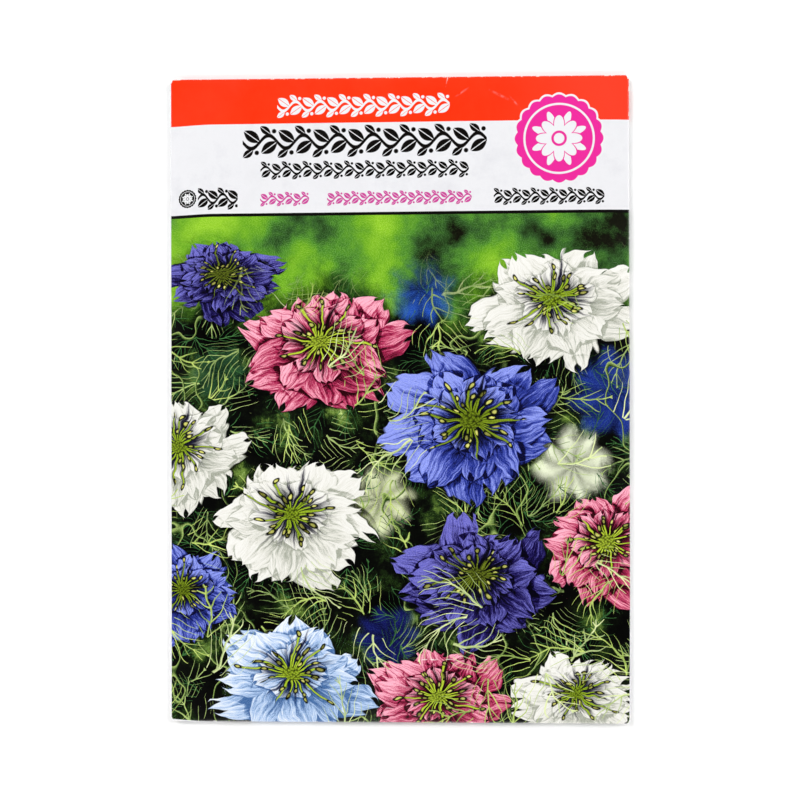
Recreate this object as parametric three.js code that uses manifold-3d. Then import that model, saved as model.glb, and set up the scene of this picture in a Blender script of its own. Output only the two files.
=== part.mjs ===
// A sealed paper seed packet lying on its back, printed front up.
//
// One sheet of paper is folded into a flat pocket: the front panel carries the back panel on its left fold, a
// narrow side flap on its right fold, a bottom flap and a closing flap. The back panel is glued over the side
// flap, and the two end flaps are glued over the back panel. A single layer of seeds lies inside, low down.
//
// Millimetres. X runs across the packet, Y up it, Z out of the printed front. The origin is on the surface that
// the packet lies on, under the middle of the pocket.

import * as THREE from "three";
import { mergeVertices } from "three/addons/utils/BufferGeometryUtils.js";
import Module from "manifold-3d";

// Driving dimensions of the pocket
const width = 82;
const height = 115;
const paper = 0.2; // the sheet, with its coating
const glue = 0.1; // a dried glue line between two layers
const creaseRadius = 0.25; // outer radius of a pressed fold
const cornerRelief = 1.5; // the side panels are cut back this far from the pocket's corners

// Flaps and the back panel's free edges
const sideFlapWidth = 12;
const bottomFlapHeight = 14;
const closingFlapHeight = 17;
const flapTaper = 3.5; // how far each side of an end flap draws in
const flapCornerRadius = 3;
const backEdgeInset = 2; // the back panel's free edge to the right fold
const backTaper = 1.5; // how much shorter the back panel gets, at each end, towards its free edge
const sideFlapTaper = 5; // the same for the side flap
const rampStart = 0.3; // a flap leaves the level of its fold this far in
const rampEnd = 1.7; // and lies at its own level from here on

// Glue lines, each as shares of the flap that it holds and of the packet
const seamGlueAcross = 0.6; // of the side flap
const seamGlueMiddle = 0.56; // of the side flap, from the right fold
const seamGlueUp = 0.84; // of the height
const bottomGlueAcross = 0.8; // of the width
const bottomGlueUp = 0.55; // of the bottom flap
const bottomGlueMiddle = 0.6; // of the bottom flap, from its fold
const closingGlueAcross = 0.72; // of the width
const closingGlueUp = 0.45; // of the closing flap
const closingGlueMiddle = 0.66; // of the closing flap, from its fold

// Crown of the front panel
const crownHeight = 1;
const crownRun = 9; // distance over which the panel rises from a fold
const panelColumns = 18;
const panelRows = 24;

// Seeds
const seedLength = 2.4;
const seedWidth = 1.75;
const seedThickness = 1.3;
const seedBedHalfWidth = 15.5;
const seedBedHalfHeight = 4.6;
const seedBedY = -44;
const seedColumnStep = 1.85;
const seedRowStep = 1.5;
const seedJitter = 0.12;
const seedRise = 0.35; // how far the seeds lift the front panel above its crown
const riseAcross = 1.5; // how much wider than the bed that lift is, in its half width
const riseUp = 2.2; // and in its half height
const ridgeDepth = 0.14; // three blunt ridges run along a seed
const randomSeed = 7;

// Levels of the layers, from the surface up
const flapTop = paper;
const backBottom = flapTop + glue;
const backTop = backBottom + paper;
const sideFlapBottom = backTop + glue;
const foldTop = backBottom + 2 * creaseRadius;

const halfWidth = width / 2;
const halfHeight = height / 2;
const bendSegments = 4; // an even number, so that a fold reaches the full width
const rampSegments = 2;

const wasm = await Module();
wasm.setup();

function solidOf(geometry) {
  const bare = geometry.clone();
  bare.deleteAttribute("normal");
  bare.deleteAttribute("uv");
  const merged = mergeVertices(bare, 1e-4);
  return new wasm.Manifold(
    new wasm.Mesh({
      numProp: 3,
      vertProperties: new Float32Array(merged.attributes.position.array),
      triVerts: new Uint32Array(merged.index.array),
    }),
  );
}

function geometryOf(solid) {
  const mesh = solid.getMesh();
  const positions = new Float32Array(mesh.numVert * 3);
  for (let i = 0; i < mesh.numVert; i++) {
    const start = i * mesh.numProp;
    positions.set(mesh.vertProperties.subarray(start, start + 3), i * 3);
  }
  const geometry = new THREE.BufferGeometry();
  geometry.setAttribute("position", new THREE.BufferAttribute(positions, 3));
  geometry.setIndex(new THREE.BufferAttribute(mesh.triVerts, 1));
  geometry.computeVertexNormals();
  return geometry;
}

function union(geometries) {
  return geometries.map(solidOf).reduce((all, next) => all.add(next));
}

// 0 at the fold, 1 from crownRun inwards, steepest at the fold as in any filled pocket
function riseFrom(foldDistance) {
  return 1 - (1 - THREE.MathUtils.clamp(foldDistance / crownRun, 0, 1)) ** 3;
}

function crownAt(x, y) {
  const rise = riseFrom(halfWidth - Math.abs(x)) * riseFrom(halfHeight - Math.abs(y));
  const across = x / (seedBedHalfWidth * riseAcross);
  const along = (y - seedBedY) / (seedBedHalfHeight * riseUp);
  const overSeeds = Math.exp(-(across ** 4) - along ** 2);
  return rise * (crownHeight + seedRise * overSeeds);
}

// Stations are the lines that the sheet is divided along. These are the front panel's, from fold to fold: one at
// each corner relief, and even steps between them.
function panelStations(foldLine, steps) {
  const inner = foldLine - cornerRelief;
  const even = Array.from({ length: steps + 1 }, (_, k) =>
    THREE.MathUtils.lerp(-inner, inner, k / steps),
  );
  return [-foldLine, ...even, foldLine].map((at) => ({ side: 0, at }));
}

// The stations of a panel that turns round a fold (side +1 or -1) and then lies behind the front panel at lowZ.
// spread says how much of its length along the fold the panel still has at a distance from it.
function wingStations(side, foldLine, lowZ, reach, lyingShares, spread) {
  const wing = { side, foldLine };
  const turning = Array.from({ length: bendSegments }, (_, k) => ({
    ...wing,
    turn: ((k + 1) / bendSegments) * Math.PI,
    flat: 0,
    z: backBottom,
  }));
  const ramping = Array.from({ length: rampSegments + 1 }, (_, k) => ({
    ...wing,
    turn: Math.PI,
    flat: THREE.MathUtils.lerp(rampStart, rampEnd, k / rampSegments),
    z: THREE.MathUtils.lerp(backBottom, lowZ, THREE.MathUtils.smoothstep(k / rampSegments, 0, 1)),
  }));
  const lying = lyingShares.map((share) => ({ ...wing, turn: Math.PI, flat: share * reach, z: lowZ }));
  return [...turning, ...ramping, ...lying].map((station) => ({
    ...station,
    spread: spread(station.flat),
  }));
}

// Where a wing station's line lies, depth under the sheet's outer face
function lineOf(station, depth) {
  const radius = creaseRadius - depth;
  const reach = station.foldLine + radius * Math.sin(station.turn) - station.flat;
  return {
    out: station.side * reach,
    z: station.z + creaseRadius + radius * Math.cos(station.turn),
  };
}

// A point of the folded sheet, depth under its outer face
function sheetPoint(across, up, depth) {
  if (across.side !== 0) {
    const line = lineOf(across, depth);
    return [line.out, up.at * across.spread, line.z];
  }
  if (up.side !== 0) {
    const line = lineOf(up, depth);
    return [across.at * up.spread, line.out, line.z];
  }
  return [across.at, up.at, foldTop - depth + crownAt(across.at, up.at)];
}

// An end flap draws in on both sides and has round corners
function endFlapSpread(reach) {
  return (flat) => {
    const intoCorner = Math.max(0, flat - (reach - flapCornerRadius));
    const corner = flapCornerRadius - Math.sqrt(flapCornerRadius ** 2 - intoCorner ** 2);
    return 1 - (flapTaper * (flat / reach) + corner) / halfWidth;
  };
}

// One closed skin over the folded sheet: an outer face, an inner face and the cut edges between them
function foldedSheet(acrossStations, upStations) {
  const columns = acrossStations.length - 1;
  const rows = upStations.length - 1;
  const isPanel = (stations, k) => stations[k].side === 0 && stations[k + 1].side === 0;
  const isRelief = (stations, k) => !isPanel(stations, k - 1) || !isPanel(stations, k + 1);
  const hasCell = (i, j) => {
    if (i < 0 || j < 0 || i >= columns || j >= rows) return false;
    if (isPanel(acrossStations, i)) return true;
    return isPanel(upStations, j) && !isRelief(upStations, j);
  };
  const places = [];
  const numbers = new Map();
  const corner = (i, j, depth) => {
    const key = `${i} ${j} ${depth}`;
    if (!numbers.has(key)) {
      numbers.set(key, places.length / 3);
      places.push(...sheetPoint(acrossStations[i], upStations[j], depth));
    }
    return numbers.get(key);
  };
  const triangles = [];
  const quad = (a, b, c, d) => triangles.push(a, b, c, a, c, d);
  const face = (i, j, depth) => [
    corner(i, j, depth),
    corner(i + 1, j, depth),
    corner(i + 1, j + 1, depth),
    corner(i, j + 1, depth),
  ];
  const cutEdge = (i0, j0, i1, j1) =>
    quad(corner(i0, j0, paper), corner(i1, j1, paper), corner(i1, j1, 0), corner(i0, j0, 0));
  for (let i = 0; i < columns; i++) {
    for (let j = 0; j < rows; j++) {
      if (!hasCell(i, j)) continue;
      quad(...face(i, j, 0));
      quad(...face(i, j, paper).reverse());
      if (!hasCell(i, j - 1)) cutEdge(i, j, i + 1, j);
      if (!hasCell(i + 1, j)) cutEdge(i + 1, j, i + 1, j + 1);
      if (!hasCell(i, j + 1)) cutEdge(i + 1, j + 1, i, j + 1);
      if (!hasCell(i - 1, j)) cutEdge(i, j + 1, i, j);
    }
  }
  const geometry = new THREE.BufferGeometry();
  geometry.setAttribute("position", new THREE.Float32BufferAttribute(places, 3));
  geometry.setIndex(triangles);
  geometry.computeVertexNormals();
  return geometry;
}

function paperSleeve() {
  const sideLine = halfWidth - creaseRadius;
  const endLine = halfHeight - creaseRadius;
  const backReach = sideLine + halfWidth - backEdgeInset;
  const sideFlapReach = sideFlapWidth - creaseRadius;
  const shorten = (taper, reach) => (flat) => 1 - (taper / halfHeight) * (flat / reach);
  const flapShares = [0.8, 0.88, 0.95, 1];

  const back = wingStations(-1, sideLine, backBottom, backReach, [0.5, 1], shorten(backTaper, backReach));
  const sideFlap = wingStations(
    1,
    sideLine,
    sideFlapBottom,
    sideFlapReach,
    [1],
    shorten(sideFlapTaper, sideFlapReach),
  );
  const bottomFlap = wingStations(
    -1,
    endLine,
    0,
    bottomFlapHeight,
    flapShares,
    endFlapSpread(bottomFlapHeight),
  );
  const closingFlap = wingStations(
    1,
    endLine,
    0,
    closingFlapHeight,
    flapShares,
    endFlapSpread(closingFlapHeight),
  );
  return foldedSheet(
    [...back.reverse(), ...panelStations(sideLine, panelColumns), ...sideFlap],
    [...bottomFlap.reverse(), ...panelStations(endLine, panelRows), ...closingFlap],
  );
}

// A dried glue line: a thin strip between two layers
function glueStrip(stripWidth, stripHeight, centreX, centreY, lowZ) {
  return new THREE.BoxGeometry(stripWidth, stripHeight, glue).translate(
    centreX,
    centreY,
    lowZ + glue / 2,
  );
}

function sideSeamGlue() {
  const centreX = halfWidth - sideFlapWidth * seamGlueMiddle;
  return glueStrip(sideFlapWidth * seamGlueAcross, height * seamGlueUp, centreX, 0, backTop);
}

function bottomFlapGlue() {
  const centreY = bottomFlapHeight * bottomGlueMiddle - halfHeight;
  return glueStrip(width * bottomGlueAcross, bottomFlapHeight * bottomGlueUp, 0, centreY, flapTop);
}

function closingFlapGlue() {
  const centreY = halfHeight - closingFlapHeight * closingGlueMiddle;
  return glueStrip(width * closingGlueAcross, closingFlapHeight * closingGlueUp, 0, centreY, flapTop);
}

// Draws from 0 to 1, the same at every run (mulberry32)
function seededDraws(start) {
  let state = start;
  return () => {
    state = (state + 0x6d2b79f5) | 0;
    let mixed = Math.imul(state ^ (state >>> 15), 1 | state);
    mixed = (mixed + Math.imul(mixed ^ (mixed >>> 7), 61 | mixed)) ^ mixed;
    return ((mixed ^ (mixed >>> 14)) >>> 0) / 2 ** 32;
  };
}

// One seed, long along X, with three blunt ridges
function seedShape() {
  const geometry = new THREE.IcosahedronGeometry(0.5, 0);
  const points = geometry.attributes.position;
  for (let i = 0; i < points.count; i++) {
    const turn = Math.atan2(points.getZ(i), points.getY(i));
    const swell = 1 + ridgeDepth * Math.cos(3 * turn);
    points.setY(i, points.getY(i) * swell);
    points.setZ(i, points.getZ(i) * swell);
  }
  geometry.computeBoundingBox();
  const raw = geometry.boundingBox.getSize(new THREE.Vector3());
  return geometry.scale(seedLength / raw.x, seedWidth / raw.y, seedThickness / raw.z);
}

// The seeds lie one deep in rows that are a little uneven, and touch their neighbours
function seedBed() {
  const draw = seededDraws(randomSeed);
  const rows = Math.floor(seedBedHalfHeight / seedRowStep);
  const columns = Math.floor(seedBedHalfWidth / seedColumnStep) + 1;
  const seeds = [];
  for (let row = -rows; row <= rows; row++) {
    for (let column = -columns; column <= columns; column++) {
      const x = (column + (row % 2) / 2) * seedColumnStep;
      const y = row * seedRowStep;
      if ((x / seedBedHalfWidth) ** 2 + (y / seedBedHalfHeight) ** 2 > 1) continue;
      const seed = seedShape()
        .rotateX(Math.round(draw()) * Math.PI)
        .rotateZ(draw() * Math.PI)
        .translate(
          x + (draw() - 0.5) * 2 * seedJitter,
          seedBedY + y + (draw() - 0.5) * 2 * seedJitter,
          backTop + seedThickness / 2,
        );
      seeds.push(seed);
    }
  }
  return union(seeds);
}

const printedPaper = new THREE.MeshStandardMaterial({
  name: "printed_paper",
  color: 0x4f7f3a,
  roughness: 0.4,
  metalness: 0,
});
const driedGlue = new THREE.MeshStandardMaterial({
  name: "dried_glue",
  color: 0xe9dfc4,
  roughness: 0.35,
  metalness: 0,
});
const seedCoat = new THREE.MeshStandardMaterial({
  name: "seed_coat",
  color: 0x17130f,
  roughness: 0.75,
  metalness: 0,
});

function named(name, geometry, material) {
  const mesh = new THREE.Mesh(geometry, material);
  mesh.name = name;
  return mesh;
}

const packet = new THREE.Group();
packet.name = "seed_packet";
packet.add(
  named("paper_sleeve", paperSleeve(), printedPaper),
  named("side_seam_glue", sideSeamGlue(), driedGlue),
  named("bottom_flap_glue", bottomFlapGlue(), driedGlue),
  named("closing_flap_glue", closingFlapGlue(), driedGlue),
  named("seeds", geometryOf(seedBed()), seedCoat),
);

export default packet;
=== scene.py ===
import math
from functools import partial

import bmesh
import bpy
from mathutils import Matrix, Vector, noise


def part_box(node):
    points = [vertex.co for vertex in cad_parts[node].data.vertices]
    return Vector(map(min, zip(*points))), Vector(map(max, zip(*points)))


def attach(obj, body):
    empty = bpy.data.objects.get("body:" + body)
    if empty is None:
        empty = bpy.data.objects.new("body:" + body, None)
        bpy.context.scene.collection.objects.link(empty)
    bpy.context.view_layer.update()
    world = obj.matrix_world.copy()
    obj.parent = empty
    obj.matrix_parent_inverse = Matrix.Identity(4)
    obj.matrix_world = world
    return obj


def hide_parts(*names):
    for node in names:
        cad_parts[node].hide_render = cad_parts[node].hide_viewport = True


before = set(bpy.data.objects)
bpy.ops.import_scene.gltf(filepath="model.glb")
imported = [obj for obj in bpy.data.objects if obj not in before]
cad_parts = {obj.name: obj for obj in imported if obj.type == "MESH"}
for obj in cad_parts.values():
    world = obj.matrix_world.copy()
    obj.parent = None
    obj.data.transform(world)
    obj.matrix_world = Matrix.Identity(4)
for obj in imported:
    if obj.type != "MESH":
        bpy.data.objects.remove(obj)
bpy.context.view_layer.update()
print("frame loaded:", ", ".join(sorted(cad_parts)))

mm = 0.001  # every measure below is in millimetres, and each finished mesh is scaled by this


def linearColour(code):
    levels = [int(code[k : k + 2], 16) / 255 for k in (1, 3, 5)]
    return (*(c / 12.92 if c <= 0.04045 else ((c + 0.055) / 1.055) ** 2.4 for c in levels), 1.0)


nodeModes = {  # the setting that a word after a node's kind stands for
    "Math": "operation",
    "VectorMath": "operation",
    "Mix": "data_type",
    "MapRange": "interpolation_type",
    "Mapping": "vector_type",
    "TexNoise": "noise_dimensions",
    "TexWhiteNoise": "noise_dimensions",
    "TexVoronoi": "voronoi_dimensions",
}


def feed(tree, sockets, values):
    # a value is a socket to link, a hex colour or a plain value, and None leaves the socket as it is
    for socket, value in zip(sockets, values):
        if isinstance(value, bpy.types.NodeSocket):
            tree.links.new(value, socket)
        elif value is not None:
            socket.default_value = linearColour(value) if isinstance(value, str) else value


def addNode(tree, kind, *values, out=0, stops=None, steps=False, curve=None, **settings):
    kind, *mode = kind.split()
    node = tree.nodes.new("ShaderNode" + kind)
    if mode:
        setattr(node, nodeModes[kind], mode[0])
    for name, setting in settings.items():
        setattr(node, name, setting)
    if stops:  # a colour ramp's places and hex colours
        ramp = node.color_ramp
        ramp.interpolation = "CONSTANT" if steps else "LINEAR"
        while len(ramp.elements) < len(stops):
            ramp.elements.new(1.0)
        for element, (place, code) in zip(ramp.elements, stops):
            element.position = place
            element.color = linearColour(code)
    if curve:  # a float curve's points
        points = node.mapping.curves[0].points
        while len(points) < len(curve):
            points.new(0.5, 0.5)
        for point, place in zip(points, curve):
            point.location = place
        node.mapping.update()
    feed(tree, [socket for socket in node.inputs if socket.enabled], values)
    if out is None:
        return node.outputs
    return [socket for socket in node.outputs if socket.enabled][out]


def startGroup(name, given, results):
    tree = bpy.data.node_groups.new(name, "ShaderNodeTree")
    for labels, way in ((given, "INPUT"), (results, "OUTPUT")):
        for label, kind in labels.items():
            tree.interface.new_socket(label, in_out=way, socket_type="NodeSocket" + kind)
    inside = list(tree.nodes.new("NodeGroupInput").outputs)[: len(given)]
    end = list(tree.nodes.new("NodeGroupOutput").inputs)[: len(results)]
    return tree, inside, end


def startGrid(across, up, size, middle):
    bm = bmesh.new()
    bmesh.ops.create_grid(bm, x_segments=across, y_segments=up, size=0.5)
    bmesh.ops.scale(bm, vec=(*size, 1), verts=bm.verts)
    bmesh.ops.translate(bm, vec=middle, verts=bm.verts)
    return bm


def newObject(name, data):
    if isinstance(data, bmesh.types.BMesh):
        bm, data = data, bpy.data.meshes.new(name)
        bm.to_mesh(data)
        bm.free()
    item = bpy.data.objects.new(name, data)
    bpy.context.scene.collection.objects.link(item)
    return item


# the folded sheet: one blank with a back panel, a side flap and two end flaps round the front panel
touching = 1e-4  # nearer than this is the same place
sharpEdge = math.radians(50)
sleeveLow, sleeveHigh = (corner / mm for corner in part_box("paper_sleeve"))
sheet = {
    "halfWidth": (sleeveHigh.x - sleeveLow.x) / 2,
    "halfHeight": (sleeveHigh.y - sleeveLow.y) / 2,
    "paper": 0.2,
    "foldRadius": 0.25,
    "foldCuts": 6,
    "cornerRelief": 0.45,  # the side folds stop this far from the corners
    "wingRelief": 1.6,  # and what lies behind them stops here, clear of the end flaps' ramps
    "sideFlap": 12.0,
    "bottomFlap": 14.0,
    "closingFlap": 17.0,
    "flapTaper": 3.5,
    "flapCorner": 3.0,
    "flapCornerInset": 1.15,  # the round corner's middle, in its radii from the flap's side
    "backInset": 2.0,  # the back's free edge to the right fold
    "backTaper": 1.5,
    "sideFlapTaper": 5.0,
    "backLevel": 0.3,  # outer faces, above the surface it lies on
    "sideFlapLevel": 0.6,
    "ramp": (0.3, 1.7),  # where a flap steps to its own level
    "rampCuts": 4,
    "crown": 1.0,
    "crownRun": 10.0,
    "crownPower": 2.1,  # how suddenly the front levels out
    "mesh": 0.84,
    "roundCorner": 0.8,
    "roundRun": 3,  # the side starts to bend this many radii from a corner
    "foldWander": 0.09,  # hand-folded edges are this much off straight
    "sideWander": (19, 4.2),  # over this length, with a draw of its own
    "endWander": (13, 9.6),
}
sheet["sideLine"] = sheet["halfWidth"] - sheet["foldRadius"]
sheet["endLine"] = sheet["halfHeight"] - sheet["foldRadius"]
sheet["arc"] = math.pi * sheet["foldRadius"]
sheet["foldLevel"] = sheet["backLevel"] + sheet["foldRadius"]

seed = {
    "length": 2.4,
    "width": 1.75,
    "thickness": 1.3,
    "bed": (15.5, 4.6),
    "bedY": -44.0,
    "columnStep": 1.85,
    "rowStep": 1.5,
    "jitter": 0.12,
    "lift": 0.35,
    "liftSpread": (1.5, 2.2),  # the front is lifted this far past the bed, in its half sizes
    "lump": (0.06, 0.8, 3),  # what one seed lifts: height, radius, how far it is reckoned
    "ridge": 0.14,
    "draw": 7,
    "floor": 0.5,
    "taper": 0.35,
    "wrinkle": (0.05, 3.1),  # depth against the radius, how many across
}

relief = {
    # slow unevenness: wavelength, height, a draw of its own
    "frontWaves": [(24, 0.10, 3.1), (8, 0.035, 7.7)],
    "backWave": (15, 0.05, 1.3),
    "backFree": (2, 10),  # the back lies flat up to here from its fold, and is uneven from there
    # edges of the flaps behind, which show through as faint steps: direction, start, end
    "flapEdges": [(1, 0, 28.2, 29.6), (0, 1, 39.6, 41.0), (0, -1, 42.6, 44.0)],
    "flapStep": 0.05,
}


def seededDraws(state):
    while True:
        state = (state + 0x6D2B79F5) & 0xFFFFFFFF
        mixed = ((state ^ state >> 15) * (1 | state)) & 0xFFFFFFFF
        mixed = ((mixed + ((mixed ^ mixed >> 7) * (61 | mixed) & 0xFFFFFFFF)) ^ mixed) & 0xFFFFFFFF
        yield (mixed ^ mixed >> 14) / 2**32


def seedPlaces():
    draw = seededDraws(seed["draw"])
    halfX, halfY = seed["bed"]
    rows, columns = int(halfY / seed["rowStep"]), int(halfX / seed["columnStep"]) + 1
    places = []
    for row in range(-rows, rows + 1):
        for column in range(-columns, columns + 1):
            x = (column + math.fmod(row, 2) / 2) * seed["columnStep"]
            y = row * seed["rowStep"]
            if (x / halfX) ** 2 + (y / halfY) ** 2 > 1:
                continue
            over, turn = math.floor(next(draw) + 0.5) * math.pi, next(draw) * math.pi
            x += (next(draw) - 0.5) * 2 * seed["jitter"]
            y += seed["bedY"] + (next(draw) - 0.5) * 2 * seed["jitter"]
            places.append((x, y, over, turn))
    return places


def smoothStep(value, start, end):
    t = min(max((value - start) / (end - start), 0), 1)
    return t * t * (3 - 2 * t)


def bell(value):
    return math.exp(-value * value)


def wave(x, y, length, height, own):
    return height * noise.noise(Vector((x / length, y / length, own)))


def frontRelief(x, y, seeds):
    rise = 1.0
    for gone in (sheet["sideLine"] - abs(x), sheet["endLine"] - abs(y)):
        rise *= 1 - (1 - min(max(gone / sheet["crownRun"], 0), 1)) ** sheet["crownPower"]
    spreadX, spreadY = (half * spread for half, spread in zip(seed["bed"], seed["liftSpread"]))
    overSeeds = bell((x / spreadX) ** 2) * bell((y - seed["bedY"]) / spreadY)
    lift = sheet["crown"] + seed["lift"] * overSeeds
    lift += sum(wave(x, y, *values) for values in relief["frontWaves"])
    for wayX, wayY, start, end in relief["flapEdges"]:
        lift += relief["flapStep"] * smoothStep(wayX * x + wayY * y, start, end)
    lift *= rise
    height, radius, reach = seed["lump"]
    if abs(y - seed["bedY"]) < seed["bed"][1] + 2 * reach:
        for seedX, seedY, _, _ in seeds:
            if abs(x - seedX) < reach and abs(y - seedY) < reach:
                lift += height * bell((x - seedX) / radius) * bell((y - seedY) / radius)
    return lift


def wander(place, length, own):
    return sheet["foldWander"] * (0.5 + 0.5 * noise.noise(Vector((place / length, own, 0))))


def foldedPlace(u, v, seeds):
    side, end = abs(u) - sheet["sideLine"], abs(v) - sheet["endLine"]
    radius, foldLevel, backLevel = sheet["foldRadius"], sheet["foldLevel"], sheet["backLevel"]
    if max(side, end) <= touching:
        x, y, z = u, v, foldLevel + radius + frontRelief(u, v, seeds)
    else:
        over, line = (side, sheet["sideLine"]) if side > touching else (end, sheet["endLine"])
        if over < sheet["arc"]:
            turn = over / radius
            out, z = line + radius * math.sin(turn), foldLevel + radius * math.cos(turn)
        else:
            flat = over - sheet["arc"]
            level = sheet["sideFlapLevel"] if end <= touching else 0.0
            if u < -sheet["sideLine"]:
                level = backLevel
            out, z = line - flat, backLevel + (level - backLevel) * smoothStep(flat, *sheet["ramp"])
            if level == backLevel:
                z += wave(u, v, *relief["backWave"]) * smoothStep(flat, *relief["backFree"])
        x, y = (out * math.copysign(1, u), v) if side > touching else (u, out * math.copysign(1, v))
    x *= 1 - wander(y, *sheet["sideWander"]) / sheet["halfWidth"]
    y *= 1 - wander(x, *sheet["endWander"]) / sheet["halfHeight"]
    # the corners are a little rounded
    rounding = sheet["roundCorner"]
    run = sheet["roundRun"] * rounding
    past = abs(y) - (sheet["halfHeight"] - rounding)
    start = sheet["halfWidth"] - run
    if past > 0 and abs(x) > start:
        drawn = rounding - math.sqrt(max(rounding**2 - past**2, 0))
        x = math.copysign(start + (abs(x) - start) * (1 - drawn / run), x)
    return Vector((x, y, z))


def cutAlong(bm, point, normal, faces=None, clear=False):
    faces = list(faces if faces is not None else bm.faces)
    # dictionaries keep the parts in order, so that the mesh comes out the same each run
    edges = dict.fromkeys(edge for face in faces for edge in face.edges)
    verts = dict.fromkeys(vert for face in faces for vert in face.verts)
    parts = [*faces, *edges, *verts]
    bmesh.ops.bisect_plane(
        bm, geom=parts, dist=touching / 10, plane_co=(*point, 0), plane_no=(*normal, 0), clear_outer=clear
    )


def flatBlank():
    sideLine, endLine, arc = sheet["sideLine"], sheet["endLine"], sheet["arc"]
    left = sideLine + arc + sideLine + sheet["halfWidth"] - sheet["backInset"]
    right = sideLine + arc + sheet["sideFlap"] - sheet["foldRadius"]
    bottom, top = endLine + arc + sheet["bottomFlap"], endLine + arc + sheet["closingFlap"]
    size = (left + right, bottom + top)
    across, up = (round(length / sheet["mesh"]) for length in size)
    bm = startGrid(across, up, size, ((right - left) / 2, (top - bottom) / 2, 0))
    start, end = sheet["ramp"]
    cuts = [arc * k / sheet["foldCuts"] for k in range(sheet["foldCuts"] + 1)]
    cuts += [arc + start + (end - start) * k / sheet["rampCuts"] for k in range(sheet["rampCuts"] + 1)]
    inner, low = endLine - sheet["cornerRelief"], endLine - sheet["wingRelief"]
    for sign in (-1, 1):
        for cut in cuts:
            cutAlong(bm, (sign * (sideLine + cut), 0), (sign, 0))
            cutAlong(bm, (0, sign * (endLine + cut)), (0, sign))
        cutAlong(bm, (0, sign * inner), (0, sign))
    middles = [(face, face.calc_center_median()) for face in bm.faces]
    corner = [face for face, middle in middles if abs(middle.x) > sideLine and abs(middle.y) > inner]
    bmesh.ops.delete(bm, geom=corner, context="FACES")

    # behind its fold a wing steps down past the end flaps' ramps, and gets shorter towards its free edge
    fold = sideLine + arc / 2
    for side, reach, taper in ((-1, left, sheet["backTaper"]), (1, right, sheet["sideFlapTaper"])):
        for end in (-1, 1):
            step = Vector((inner - low, arc / 2))
            edge = Vector((taper, reach - sideLine))
            for height, way in ((inner, step), (low, edge)):
                wing = [f for f in bm.faces if f.calc_center_median().x * side > fold]
                cutAlong(bm, (side * fold, end * height), (side * way.x, end * way.y), wing)
            beyond = []
            for face in bm.faces:
                middle = face.calc_center_median()
                at = Vector((middle.x * side - fold, middle.y * end))
                pastStep = (at - Vector((0, inner))).dot(step) > 0
                pastEdge = (at - Vector((0, low))).dot(edge) > 0
                if at.x > 0 and pastStep and pastEdge:
                    beyond.append(face)
            bmesh.ops.delete(bm, geom=beyond, context="FACES")
    # the end flaps get narrower, with round corners
    bend = sheet["flapCorner"]
    for end, reach in ((-1, bottom - endLine), (1, top - endLine)):
        for sign in (-1, 1):
            corner = Vector((sideLine - sheet["flapTaper"], endLine + reach))
            slope = Vector((reach, sheet["flapTaper"])).normalized()
            cuts = [((sideLine, endLine + arc / 2), slope)]
            centre = corner - Vector((bend * sheet["flapCornerInset"], bend))
            for turn in range(15, 90, 15):
                way = Vector((math.cos(math.radians(turn)), math.sin(math.radians(turn))))
                cuts.append((centre + way * bend, way))
            for point, normal in cuts:
                wing = [f for f in bm.faces if f.calc_center_median().y * end > endLine + arc / 2]
                point, normal = (sign * point[0], end * point[1]), (sign * normal[0], end * normal[1])
                cutAlong(bm, point, normal, wing, True)
    bmesh.ops.remove_doubles(bm, verts=bm.verts, dist=touching)
    return bm


bakeIslands = {  # region of the blank: its lowest corner on the blank, place and scale on the bake map
    "front": (-41.2, -57.7, 0.004, 0.004, 0.0086),
    "back": (-121.4, -56.9, 0.722, 0.004, 0.00338),
    "closing": (-41.0, 57.6, 0.722, 0.390, 0.00333),
    "bottom": (-41.0, -72.1, 0.722, 0.456, 0.00333),
    "side": (41.1, -56.9, 0.722, 0.512, 0.0016),
    "insideFront": (-41.2, -57.7, 0.748, 0.512, 0.0015),
    "insideBack": (-121.4, -56.9, 0.878, 0.512, 0.0014),
    "insideSide": (41.1, -56.9, 0.722, 0.70, 0.0016),
    "insideClosing": (-41.0, 57.6, 0.748, 0.70, 0.0016),
    "insideBottom": (-41.0, -72.1, 0.748, 0.74, 0.0016),
}


def regionOf(u, v):
    edge = sheet["arc"] / 2
    if abs(u) > sheet["sideLine"] + edge:
        return "back" if u < 0 else "side"
    if abs(v) > sheet["endLine"] + edge:
        return "closing" if v > 0 else "bottom"
    return "front"


def layBakeMap(mesh):
    blank = mesh.uv_layers["blank"]
    bake = mesh.uv_layers.new(name="OFBake", do_init=False)
    for face in mesh.polygons:
        places = [blank.uv[k].vector.copy() for k in face.loop_indices]
        middle = sum(places, Vector((0, 0))) / len(places)
        region = regionOf(*middle)
        if face.material_index:
            region = "inside" + region.capitalize()
        u0, v0, across, up, scale = bakeIslands[region]
        for corner, (k, place) in enumerate(zip(face.loop_indices, places)):
            if face.material_index == 2:  # a cut edge has no width on the blank
                place = middle + Vector(((corner in (1, 2)) - 0.5, (corner > 1) - 0.5))
            bake.uv[k].vector = (across + (place.x - u0) * scale, up + (place.y - v0) * scale)


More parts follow.
